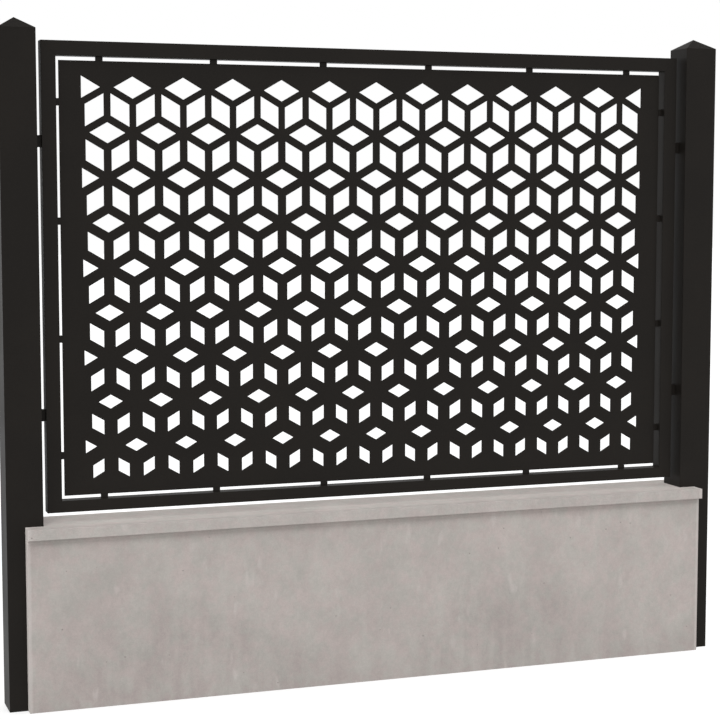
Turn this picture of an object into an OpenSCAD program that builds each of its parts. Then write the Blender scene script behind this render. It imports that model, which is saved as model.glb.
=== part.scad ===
// One bay of a garden fence: a laser-cut sheet floating in a tube frame,
// hung between two capped square posts on a concrete plinth wall with a coping.
// Millimetres, +Z up. Origin: middle of the plinth's underside, on the plane of the sheet.
// The front of the fence faces -Y.

/* [Posts] */
// Outer width of the square post tube
post_w = 100; // [80:5:120]
// Wall thickness of the post tube
post_wall = 2; // [1.5:0.5:5]
// Outer corner radius of the post and frame tubes
corner_r = 1; // [0.5:0.5:2]
// Distance between the two post centres
post_spacing = 2060; // [1400:10:2600]
// Height of the post tube above the top of the frame
post_over = 29; // [10:1:120]
// Rise of the pyramid cap from its eaves to its tip
cap_rise = 30; // [15:1:60]
// Thickness of the cap's skirt
cap_wall = 3; // [2:0.5:5]
// Depth that the cap's skirt reaches into the post
cap_skirt = 25; // [15:1:50]
// Clearance between the cap's skirt and the inside of the post
cap_fit = 0.3; // [0.2:0.1:1]

/* [Frame] */
// Outer height of the panel frame
frame_h = 1281; // [800:1:1600]
// Face width of the stiles and the top rail
stile_face = 40; // [30:5:60]
// Face width of the bottom rail
bottom_face = 32; // [20:1:60]
// Depth of all frame tubes from front to back
frame_depth = 40; // [30:5:60]
// Wall thickness of the frame tubes
frame_wall = 1.5; // [1:0.5:3]
// Gap between a post and the frame
post_gap = 17; // [8:1:40]
// Height of the frame above the coping
frame_lift = 29; // [10:1:100]

/* [Brackets] */
// Height of a bracket between post and frame
bracket_h = 32; // [20:1:50]
// Depth of a bracket from front to back
bracket_depth = 20; // [10:1:28]
// Distance from the frame's top or bottom edge to the middle of a bracket
bracket_inset = 269; // [100:1:350]

/* [Cut sheet] */
// Thickness of the sheet
sheet_t = 3; // [2:0.5:6]
// Gap between the sheet and the rails over and under it
rail_gap = 11; // [6:1:25]
// Gap between the sheet and the stiles
stile_gap = 10; // [6:1:25]
// Width of one diamond of the pattern, from tip to tip
period = 142; // [100:1:200]
// Bar between the cut-outs of the top row
top_bar = 19; // [10:1:30]
// Bar between the cut-outs of the bottom row
bottom_bar = 40; // [20:1:45]
// Plain margin over the tips of the pattern's top cells
top_margin = 29; // [20:1:80]
// Least plain margin under the pattern's bottom cells
least_bottom_margin = 8; // [5:1:60]
// Least plain margin on each side of the pattern
least_side_margin = 50; // [30:1:100]

/* [Spacers] */
// Number of spacers along the top edge, and as many along the bottom edge
spacers_across = 6; // [2:1:8]
// Number of spacers along each side edge
spacers_up = 4; // [2:1:6]
// Length of a spacer along the edge of the sheet
spacer_l = 20; // [10:1:30]
// Thickness of a spacer from front to back
spacer_t = 6; // [3:1:12]
// Distance from a corner of the sheet to the first spacer along its top or bottom edge
inset_across = 111; // [40:1:200]
// Distance from a corner of the sheet to the first spacer along its side edge
inset_up = 112; // [40:1:200]

/* [Plinth] */
// Height of the plinth wall under the coping
plinth_h = 478; // [200:1:800]
// Thickness of the plinth wall
plinth_t = 160; // [140:5:240]
// Thickness of the coping
coping_t = 30; // [20:1:80]
// Overhang of the coping over each face of the plinth wall
coping_overhang = 20; // [10:1:50]

/* [Hidden] */
coat = [0.15, 0.145, 0.135];
concrete = [0.68, 0.66, 0.64];

// Extra reach of a cutting shape past the piece it cuts
reach = 1;

coping_top = plinth_h + coping_t;
frame_bottom = coping_top + frame_lift;
frame_top = frame_bottom + frame_h;
frame_mid = (frame_bottom + frame_top) / 2;
frame_w = post_spacing - post_w - 2 * post_gap;
post_h = frame_top + post_over;

sheet_w = frame_w - 2 * stile_face - 2 * stile_gap;
sheet_top = frame_top - stile_face - rail_gap;
sheet_bottom = frame_bottom + bottom_face + rail_gap;
sheet_h = sheet_top - sheet_bottom;
sheet_mid = (sheet_top + sheet_bottom) / 2;

// The pattern is a tiling of rhombi, three to a hexagon, that reads as rows of stacked cubes.
// All rhombi have the same side, and each row of diamonds has a row of upright pairs under it.
side = period / sqrt(3);
row_pitch = 1.5 * side;
columns = floor((sheet_w - 2 * least_side_margin) / period);
rows = floor((sheet_h - top_margin - least_bottom_margin - side / 2) / row_pitch);

spacer_pitch_x = (sheet_w - 2 * inset_across) / (spacers_across - 1);
spacer_pitch_z = (sheet_h - 2 * inset_up) / (spacers_up - 1);

ENDS = ["left", "right"];
LEVELS = ["upper", "lower"];
EDGES = ["top", "bottom"];

// -1 for what is on the left or at the bottom, 1 for the right or the top
function end_sign(end) = end == "left" ? -1 : 1;
function edge_sign(edge) = edge == "bottom" ? -1 : 1;

// Height of the centres of the diamonds in a row, counted from the top row, 0
function diamond_z(row) = sheet_top - top_margin - side / 2 - row * row_pitch;

// Bars grow evenly from the top row to the bottom row, so the cut-outs shrink
function row_bar(row) = top_bar + (bottom_bar - top_bar) * row / max(rows - 1, 1);

// Size of a cut-out as a share of its cell: what is left of the cell beside the bars
function opening(row) = 1 - 2 * row_bar(row) / period;

// Places of a row's diamonds across the sheet.
// Even rows have one more, and their end ones are halved by the side of the pattern.
function diamond_xs(row) = row % 2 == 0
    ? [for (i = [0:columns]) (i - columns / 2) * period]
    : [for (i = [0:columns - 1]) (i + 0.5 - columns / 2) * period];

function on_left_side(x) = x < (0.25 - columns / 2) * period;
function on_right_side(x) = x > (columns / 2 - 0.25) * period;

module round_rect(w, d, r) {
    square([w - 2 * r, d], center = true);
    square([w, d - 2 * r], center = true);
    for (x = [-1, 1], y = [-1, 1])
        translate([x * (w / 2 - r), y * (d / 2 - r)]) circle(r, $fn = 32);
}

// Cross-section of an extruded tube: crisp outer corners, square inside
module tube_section(w, d, wall) {
    difference() {
        round_rect(w, d, corner_r);
        square([w - 2 * wall, d - 2 * wall], center = true);
    }
}

// A tube along X with its outer face on Z = 0 and its body below it.
// Each end is mitred against a neighbour with the given face width.
module mitred_tube(length, face, left_neighbour, right_neighbour) {
    difference() {
        translate([-length / 2, 0, -face / 2])
            rotate([90, 0, 90])
            linear_extrude(length)
            tube_section(frame_depth, face, frame_wall);
        mitre_cut(length / 2, face, right_neighbour);
        mirror([1, 0, 0]) mitre_cut(length / 2, face, left_neighbour);
    }
}

// The wedge beyond the line from the outer corner at X = tip to the neighbour's inner corner
module mitre_cut(tip, face, neighbour) {
    outer = [tip + neighbour, face];
    inner = [tip - 2 * neighbour, -2 * face];
    rotate([90, 0, 0])
        linear_extrude(frame_depth + 2 * reach, center = true)
        polygon([outer, inner, [outer[0], inner[1]]]);
}

// A block that reaches down from Z = 0, with a pyramid roof on it
module roofed_block(w, rise, drop) {
    profile = [[-w / 2, -drop], [w / 2, -drop], [w / 2, 0], [0, rise], [-w / 2, 0]];
    intersection() {
        rotate([90, 0, 0]) linear_extrude(w, center = true) polygon(profile);
        rotate([90, 0, 90]) linear_extrude(w, center = true) polygon(profile);
    }
}

module post(end) {
    color(coat)
        translate([end_sign(end) * post_spacing / 2, 0, 0])
        linear_extrude(post_h)
        tube_section(post_w, post_w, post_wall);
}

// A hollow pyramid flush with the post's faces, with a skirt that plugs into the tube
module post_cap(end) {
    skirt_w = post_w - 2 * post_wall - 2 * cap_fit;
    hollow_w = skirt_w - 2 * cap_wall;
    color(coat)
        translate([end_sign(end) * post_spacing / 2, 0, post_h])
        difference() {
            union() {
                intersection() {
                    roofed_block(post_w, cap_rise, 0);
                    linear_extrude(cap_rise) round_rect(post_w, post_w, corner_r);
                }
                translate([0, 0, -cap_skirt])
                    linear_extrude(cap_skirt + reach)
                    round_rect(skirt_w, skirt_w, corner_r);
            }
            roofed_block(hollow_w, cap_rise * hollow_w / post_w, cap_skirt + reach);
        }
}

module top_rail() {
    color(coat)
        translate([0, 0, frame_top])
        mitred_tube(frame_w, stile_face, stile_face, stile_face);
}

module bottom_rail() {
    color(coat)
        translate([0, 0, frame_bottom])
        rotate([0, 180, 0])
        mitred_tube(frame_w, bottom_face, stile_face, stile_face);
}

module left_stile() {
    color(coat)
        translate([-frame_w / 2, 0, frame_mid])
        rotate([0, -90, 0])
        mitred_tube(frame_h, stile_face, bottom_face, stile_face);
}

module right_stile() {
    color(coat)
        translate([frame_w / 2, 0, frame_mid])
        rotate([0, 90, 0])
        mitred_tube(frame_h, stile_face, stile_face, bottom_face);
}

// A flat-lying diamond, or its half where the side of the pattern cuts it
module diamond(x, row) {
    left = on_left_side(x) ? 0 : -period / 2;
    right = on_right_side(x) ? 0 : period / 2;
    translate([x, diamond_z(row)])
        scale(opening(row))
        polygon(concat(
            [[0, side / 2]],
            right > 0 ? [[right, 0]] : [],
            [[0, -side / 2]],
            left < 0 ? [[left, 0]] : []
        ));
}

// An upright rhombus under a diamond, on its left (-1) or right (1)
module upright(x, row, hand) {
    half = period / 4;
    translate([x + hand * half, diamond_z(row) - row_pitch / 2])
        scale(opening(row))
        polygon([
            [-hand * half, side / 4],
            [hand * half, side * 3 / 4],
            [hand * half, -side / 4],
            [-hand * half, -side * 3 / 4]
        ]);
}

module row_cutouts(row) {
    for (x = diamond_xs(row)) {
        diamond(x, row);
        if (!on_left_side(x)) upright(x, row, -1);
        if (!on_right_side(x)) upright(x, row, 1);
    }
}

module cut_sheet() {
    color(coat)
        translate([0, sheet_t / 2, 0])
        rotate([90, 0, 0])
        linear_extrude(sheet_t)
        difference() {
            translate([-sheet_w / 2, sheet_bottom]) square([sheet_w, sheet_h]);
            for (row = [0:rows - 1])
                row_cutouts(row);
        }
}

// Lug across the gap between a post and the frame
module bracket(end, level) {
    z = level == "upper" ? frame_top - bracket_inset : frame_bottom + bracket_inset;
    color(coat)
        translate([end_sign(end) * (frame_w + post_gap) / 2, 0, z])
        cube([post_gap, bracket_depth, bracket_h], center = true);
}

// Small block across the gap over or under the sheet
module edge_spacer(edge, i) {
    x = (i - (spacers_across + 1) / 2) * spacer_pitch_x;
    color(coat)
        translate([x, 0, sheet_mid + edge_sign(edge) * (sheet_h + rail_gap) / 2])
        cube([spacer_l, spacer_t, rail_gap], center = true);
}

// Small block across the gap beside the sheet
module side_spacer(end, i) {
    z = sheet_mid + (i - (spacers_up + 1) / 2) * spacer_pitch_z;
    color(coat)
        translate([end_sign(end) * (sheet_w + stile_gap) / 2, 0, z])
        cube([stile_gap, spacer_t, spacer_l], center = true);
}

// Outline of the wall or the coping from above: it stops at the posts' centres and is notched round them
module masonry_plan(depth) {
    difference() {
        square([post_spacing, depth], center = true);
        for (x = [-1, 1])
            translate([x * post_spacing / 2, 0]) square(post_w, center = true);
    }
}

module plinth_wall() {
    color(concrete)
        linear_extrude(plinth_h)
        masonry_plan(plinth_t);
}

module coping() {
    color(concrete)
        translate([0, 0, plinth_h])
        linear_extrude(coping_t)
        masonry_plan(plinth_t + 2 * coping_overhang);
}

plinth_wall();
coping();
top_rail();
bottom_rail();
left_stile();
right_stile();
cut_sheet();
for (end = ENDS) {
    post(end);
    post_cap(end);
    for (level = LEVELS)
        bracket(end, level);
    for (i = [1:spacers_up])
        side_spacer(end, i);
}
for (edge = EDGES)
    for (i = [1:spacers_across])
        edge_spacer(edge, i);
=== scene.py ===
"""Looks for one bay of a cut metal fence: powder-coated metal over a cast concrete plinth."""
import math

import bpy
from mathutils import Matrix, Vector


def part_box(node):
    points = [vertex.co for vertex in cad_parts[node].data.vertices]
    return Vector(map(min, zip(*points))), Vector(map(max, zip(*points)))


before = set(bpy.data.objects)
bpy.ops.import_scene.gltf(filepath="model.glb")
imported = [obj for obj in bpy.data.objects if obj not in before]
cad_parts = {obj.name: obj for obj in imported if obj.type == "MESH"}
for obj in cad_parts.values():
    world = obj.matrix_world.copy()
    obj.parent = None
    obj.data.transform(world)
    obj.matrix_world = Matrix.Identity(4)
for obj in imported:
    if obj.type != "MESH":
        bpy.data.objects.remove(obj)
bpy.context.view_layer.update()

MM = 0.001
WHITE = (1, 1, 1, 1)

# The camera that took the picture, as worked out from the pattern's perspective
CAMERA_PLACE = (-1.775, -4.843, 1.3946)
CAMERA_TURN = 19.6085
CAMERA_TILT = 5.1712
CAMERA_LENS = 89.103
CAMERA_SENSOR = 36.0

# Soft studio light: a surround that is bright in front and along the horizon and dims upwards
# behind and downwards, with a key from the front, a top light, a side light from the left
# and a fill from behind. Suns: elevation, azimuth, strength.
SURROUND_FRONT = 0.85
SURROUND_BACK_LOW = 0.85
SURROUND_BACK_HIGH = 0.24
SURROUND_DOWN = 0.12
KEY = (42, -25, 0.9)
TOP = (88, 0, 0.6)
SIDE = (15, -90, 1.0)
FILL = (35, 140, 1.0)
SUN_SPREAD = 30

FLOOR_SIZE = 80
FLOOR_GLOW = 0.55
FLOOR_TONES = ((0.55, 0.55, 0.55, 1), (0.57, 0.57, 0.57, 1))

# Rounded edges: width and segments
METAL_EDGE = (0.4 * MM, 2)
CONCRETE_EDGE = (1.2 * MM, 3)
WELD_DISTANCE = 0.01 * MM
FLAT_ANGLE = math.radians(0.5)
SHARP_ANGLE = math.radians(30)

# Each surface varies between two tones: the coat between dark and light, the concrete
# between pinkish and greenish.
COAT_TONES = ((0.0142, 0.0122, 0.0105, 1), (0.0164, 0.0140, 0.0119, 1))
COAT_SPECULAR = 0.11
WALL_TONES = ((0.481, 0.422, 0.401, 1), (0.463, 0.435, 0.406, 1))
COPING_TONES = ((0.490, 0.437, 0.415, 1), (0.473, 0.449, 0.420, 1))
PALE = (0.63, 0.585, 0.56, 1)
PORE = (0.34, 0.31, 0.29, 1)
CONCRETE_SPECULAR = 0.25

# Marks on the concrete. A gain brightens it, or darkens it if negative, and a share mixes in the pale tone.
CLOUD_GAIN = 0.11
# Large, soft lighter and darker areas across the wall: their size, which cloud, and how strong
SLOW_TONE_SIZE = 0.9
SLOW_TONE_SEED = 17.75
SLOW_TONE_GAIN = 0.05
# Damp from the ground: where it is full, where it ends, and how far its tides lift both
DAMP_FULL = -0.1
DAMP_END = 0.12
DAMP_TIDE = 0.24
DAMP_GAIN = -0.1
SMEAR_SHARE = 0.32
GRIT_GAIN = 0.06
# Painted shade along the front of the coping's top, darkening it to the front face's tone and dimming
# the highlight on its arris: where it starts and is full towards the front, and how deep it lies
SHADE_STRIP_START = -58 * MM
SHADE_STRIP_FULL = -68 * MM
SHADE_STRIP_WANDER = 20 * MM
SHADE_STRIP_DEPTH = 2 * MM
SHADE_STRIP_FULL_DEPTH = 0.5 * MM
SHADE_STRIP_GAIN = -0.1
# Painted light in a band down from the top of the wall, lightening the coping's shadow there
SHADOW_LIFT_START = 14 * MM
SHADOW_LIFT_FULL = 9 * MM
SHADOW_LIFT_OVER = 1 * MM
SHADOW_LIFT_GAIN = 0.145
# Painted light on both ends, in from the end of the coping, standing in for ends lit from the side
LIT_END_START = 9 * MM
LIT_END_FULL = 3 * MM
LIT_END_WANDER = 5 * MM
LIT_END_SHARE = 0.4
PORE_SPACING = 55 * MM


class Graph:
    """A node tree, built with short calls. Lengths are in metres."""

    def __init__(self, tree):
        self.tree = tree

    def put(self, value, socket):
        """Links another node's output, or sets a constant."""
        if isinstance(value, bpy.types.NodeSocket):
            self.tree.links.new(value, socket)
        else:
            socket.default_value = value

    def node(self, kind, inputs, **settings):
        """Adds a node, with its inputs by name or number."""
        made = self.tree.nodes.new("ShaderNode" + kind)
        for key, value in settings.items():
            setattr(made, key, value)
        for key, value in inputs.items():
            self.put(value, made.inputs[key])
        return made

    def ramp(self, value, start, end, low=0.0, high=1.0, curve="SMOOTHSTEP"):
        """Goes from low to high as the value goes from start to end."""
        inputs = {"Value": value, "From Min": start, "From Max": end, "To Min": low, "To Max": high}
        return self.node("MapRange", inputs, interpolation_type=curve).outputs["Result"]


class Shade(Graph):
    """One material, with its textures placed in the object's own frame."""

    def __init__(self, name):
        self.material = bpy.data.materials.new(name)
        self.material.use_nodes = True
        super().__init__(self.material.node_tree)
        self.shader = self.tree.nodes["Principled BSDF"]
        self.place = self.node("TexCoord", {}).outputs["Object"]

    def math(self, operation, a, b=0.0, c=0.0):
        return self.node("Math", {0: a, 1: b, 2: c}, operation=operation).outputs[0]

    def drawn_out(self, squeeze):
        """The place with its height squeezed, which draws a texture out upright."""
        inputs = {0: self.place, 1: (1, 1, squeeze)}
        return self.node("VectorMath", inputs, operation="MULTIPLY").outputs[0]

    def noise(self, size, detail=2.0, roughness=0.5, place=None):
        """Soft cloud from 0 to 1 with features of about the given size."""
        inputs = {"Vector": place or self.place, "Scale": 1 / size,
                  "Detail": detail, "Roughness": roughness}
        return self.node("TexNoise", inputs).outputs["Fac"]

    def slow(self, size, seed):
        """Very soft cloud from 0 to 1, another one for each seed."""
        inputs = {"Vector": self.place, "W": seed, "Scale": 1 / size, "Detail": 1.0}
        return self.node("TexNoise", inputs, noise_dimensions="4D").outputs["Fac"]

    def cells(self, size):
        """Distance to the nearest of scattered points, in cell sizes."""
        return self.node("TexVoronoi", {"Vector": self.place, "Scale": 1 / size}).outputs["Distance"]

    def mix(self, share, a, b):
        return self.node("Mix", {"Factor": share, 6: a, 7: b}, data_type="RGBA").outputs[2]

    def tint(self, colour, value, amount):
        """Brightens or darkens a colour by a value about 0.5."""
        gain = self.ramp(value, 0.25, 0.75, 1 - amount, 1 + amount)
        return self.node("VectorMath", {0: colour, "Scale": gain}, operation="SCALE").outputs[0]

    def mark(self, colour, mask, amount):
        """Brightens a colour where the mask is 1, or darkens it by a negative amount."""
        value = self.math("MULTIPLY_ADD", mask, math.copysign(0.25, amount), 0.5)
        return self.tint(colour, value, abs(amount))

    def bump(self, height, depth, normal=None):
        inputs = {"Height": height, "Distance": depth, "Strength": 1.0}
        if normal:
            inputs["Normal"] = normal
        return self.node("Bump", inputs).outputs["Normal"]

    def finish(self, colour, roughness, normal, specular):
        self.put(colour, self.shader.inputs["Base Color"])
        self.put(roughness, self.shader.inputs["Roughness"])
        self.put(normal, self.shader.inputs["Normal"])
        self.put(specular, self.shader.inputs["Specular IOR Level"])
        return self.material


def powder_coat():
    """Matt coat with faint clouds, orange peel and a fine sandy grain."""
    s = Shade("powder_coat")
    cloud = s.noise(220 * MM, detail=3)
    peel = s.noise(6 * MM, detail=1)
    sand = s.noise(0.9 * MM)
    colour = s.mix(s.ramp(cloud, 0.35, 0.65), *COAT_TONES)
    colour = s.tint(colour, sand, 0.25)
    roughness = s.ramp(cloud, 0.3, 0.7, 0.42, 0.5)
    normal = s.bump(peel, 0.05 * MM)
    normal = s.bump(sand, 0.03 * MM, normal)
    return s.finish(colour, roughness, normal, COAT_SPECULAR)


def concrete(name, tones, slow_tone=0.0):
    """Smooth cast concrete: flecks, clouds, large soft lighter and darker areas, damp from the ground,
    pale smears, grit and pores, painted shade along the front of the coping's top, painted light
    on the top of the wall in the coping's shadow, and painted light on the ends."""
    s = Shade(name)
    axes = s.node("SeparateXYZ", {"Vector": s.place}).outputs
    height = axes["Z"]
    end, _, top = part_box("coping")[1]
    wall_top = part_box("plinth_wall")[1][2]

    fleck = s.noise(50 * MM, detail=3, roughness=0.75)
    cloud = s.noise(200 * MM, detail=5, roughness=0.93, place=s.drawn_out(0.8))
    grit = s.noise(2.2 * MM, roughness=0.6)
    colour = s.mix(s.ramp(fleck, 0.36, 0.64), *tones)
    colour = s.tint(colour, cloud, CLOUD_GAIN)
    # Large, soft lighter and darker areas across the wall
    if slow_tone:
        colour = s.tint(colour, s.slow(SLOW_TONE_SIZE, SLOW_TONE_SEED), slow_tone)

    wave = {"Vector": s.place, "Scale": 0.3, "Phase Offset": 6.9,
            "Distortion": 1.5, "Detail": 2.0, "Detail Scale": 3.0}
    tide = s.node("TexWave", wave, bands_direction="X").outputs["Fac"]
    over_tide = s.math("SUBTRACT", height, s.math("MULTIPLY", tide, DAMP_TIDE))
    damp = s.ramp(over_tide, DAMP_END, DAMP_FULL)
    streak = s.noise(30 * MM, place=s.drawn_out(0.12))
    colour = s.mark(colour, damp, DAMP_GAIN)
    colour = s.mix(damp, colour, s.tint(colour, streak, 0.05))

    smear = s.noise(34 * MM, place=s.drawn_out(0.35))
    colour = s.mix(s.ramp(smear, 0.65, 0.76, 0.0, SMEAR_SHARE), colour, PALE)
    colour = s.tint(colour, grit, GRIT_GAIN)

    # Painted shade along the front of the coping's top, which also dims the highlight on its arris
    front = s.ramp(s.math("MULTIPLY_ADD", cloud, SHADE_STRIP_WANDER, axes["Y"]), SHADE_STRIP_START, SHADE_STRIP_FULL)
    skin = s.ramp(height, top - SHADE_STRIP_DEPTH, top - SHADE_STRIP_FULL_DEPTH)
    colour = s.mark(colour, s.math("MULTIPLY", front, skin), SHADE_STRIP_GAIN)

    # Painted light in a band on the top of the wall, in the coping's shadow
    above = s.ramp(height, wall_top - SHADOW_LIFT_START, wall_top - SHADOW_LIFT_FULL)
    below = s.ramp(height, wall_top + SHADOW_LIFT_OVER, wall_top)
    colour = s.mark(colour, s.math("MULTIPLY", above, below), SHADOW_LIFT_GAIN)

    # Painted light on both ends
    outward = s.math("MULTIPLY_ADD", cloud, LIT_END_WANDER, s.math("ABSOLUTE", axes["X"]))
    lit_ends = s.ramp(outward, end - LIT_END_START, end - LIT_END_FULL, 0.0, LIT_END_SHARE)
    colour = s.mix(lit_ends, colour, PALE)

    pores = s.ramp(s.cells(PORE_SPACING), 0.03, 0.045)
    colour = s.mix(pores, PORE, colour)
    roughness = s.ramp(cloud, 0.3, 0.7, 0.78, 0.9)
    normal = s.bump(cloud, 0.6 * MM)
    normal = s.bump(grit, 0.12 * MM, normal)
    normal = s.bump(pores, 0.8 * MM, normal)
    return s.finish(colour, roughness, normal, CONCRETE_SPECULAR)


def soften(piece, width, segments):
    """Rounds a piece's sharp edges over its merged, flat faces."""
    piece.modifiers.new("weld", "WELD").merge_threshold = WELD_DISTANCE
    flat = piece.modifiers.new("flat", "DECIMATE")
    flat.decimate_type = "DISSOLVE"
    flat.angle_limit = FLAT_ANGLE
    edge = piece.modifiers.new("edge", "BEVEL")
    edge.width = width
    edge.segments = segments
    edge.limit_method = "ANGLE"
    edge.angle_limit = SHARP_ANGLE
    edge.loop_slide = False
    edge.use_clamp_overlap = False


def add_camera():
    data = bpy.data.cameras.new("camera")
    data.lens = CAMERA_LENS
    data.sensor_width = CAMERA_SENSOR
    camera = bpy.data.objects.new("camera", data)
    camera.location = CAMERA_PLACE
    camera.rotation_euler = (math.radians(90 - CAMERA_TILT), 0, math.radians(-CAMERA_TURN))
    bpy.context.collection.objects.link(camera)
    bpy.context.scene.camera = camera


def add_floor():
    """A pale floor that glows a little and throws no light on the object."""
    bpy.ops.mesh.primitive_plane_add(size=FLOOR_SIZE, location=(0, 0, 0))
    floor = bpy.context.object
    floor.name = "floor"
    s = Shade("pale_floor")
    s.put(WHITE, s.shader.inputs["Emission Color"])
    s.put(FLOOR_GLOW, s.shader.inputs["Emission Strength"])
    grain = s.noise(500 * MM)
    colour = s.mix(s.ramp(grain, 0.3, 0.7), *FLOOR_TONES)
    floor.data.materials.append(s.finish(colour, 1.0, s.bump(grain, 0.1 * MM), 0.0))
    floor.visible_diffuse = False
    floor.visible_glossy = False


def group(name, pieces):
    made = bpy.data.collections.new(name)
    for piece in pieces:
        made.objects.link(piece)
    return made


def add_sun(name, elevation, azimuth, strength, shaded_by, lit=None):
    """Azimuth 0 shines from the front, positive angles from the right. Only the pieces in
    shaded_by cast shadows in this light, and only those in lit are lit by it, if given."""
    data = bpy.data.lights.new(name, "SUN")
    data.energy = strength
    data.angle = math.radians(SUN_SPREAD)
    sun = bpy.data.objects.new(name, data)
    sun.rotation_euler = (math.radians(90 - elevation), 0, math.radians(azimuth))
    sun.visible_glossy = False
    bpy.context.collection.objects.link(sun)
    sun.light_linking.blocker_collection = group(name + "_blockers", shaded_by)
    if lit:
        sun.light_linking.receiver_collection = group(name + "_lit", lit)


def add_surround():
    """Lights the object by direction, and shows the camera plain white."""
    world = bpy.data.worlds.new("studio")
    bpy.context.scene.world = world
    world.use_nodes = True
    g = Graph(world.node_tree)
    axes = g.node("SeparateXYZ", {0: g.node("TexCoord", {}).outputs["Generated"]}).outputs
    back = g.ramp(axes["Z"], 0.1, 0.7, SURROUND_BACK_LOW, SURROUND_BACK_HIGH, "LINEAR")
    level = g.ramp(axes["Y"], -0.5, 0.1, SURROUND_FRONT, back, "LINEAR")
    level = g.ramp(axes["Z"], -0.3, -0.8, level, SURROUND_DOWN, "LINEAR")
    light = g.node("Background", {"Color": WHITE, "Strength": level})
    plain = g.node("Background", {"Color": WHITE})
    seen = g.node("LightPath", {}).outputs["Is Camera Ray"]
    either = g.node("MixShader", {0: seen, 1: light.outputs[0], 2: plain.outputs[0]})
    g.put(either.outputs[0], g.tree.nodes["World Output"].inputs["Surface"])


coat = powder_coat()
concretes = {
    "plinth_wall": concrete("wall_concrete", WALL_TONES, SLOW_TONE_GAIN),
    "coping": concrete("coping_concrete", COPING_TONES),
}
for name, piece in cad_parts.items():
    piece.data.materials.clear()
    piece.data.materials.append(concretes.get(name, coat))
    if name in concretes:
        soften(piece, *CONCRETE_EDGE)
    elif not name.endswith("_cap"):
        soften(piece, *METAL_EDGE)

add_camera()
add_floor()
masonry = [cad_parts[name] for name in concretes]
posts = [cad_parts[name] for name in ("left_post", "right_post")]
add_sun("key", *KEY, shaded_by=masonry + posts)
add_sun("top", *TOP, shaded_by=masonry + posts)
add_sun("side", *SIDE, shaded_by=masonry, lit=masonry)
add_sun("fill", *FILL, shaded_by=masonry)
add_surround()
bpy.context.scene.view_settings.view_transform = "Standard"
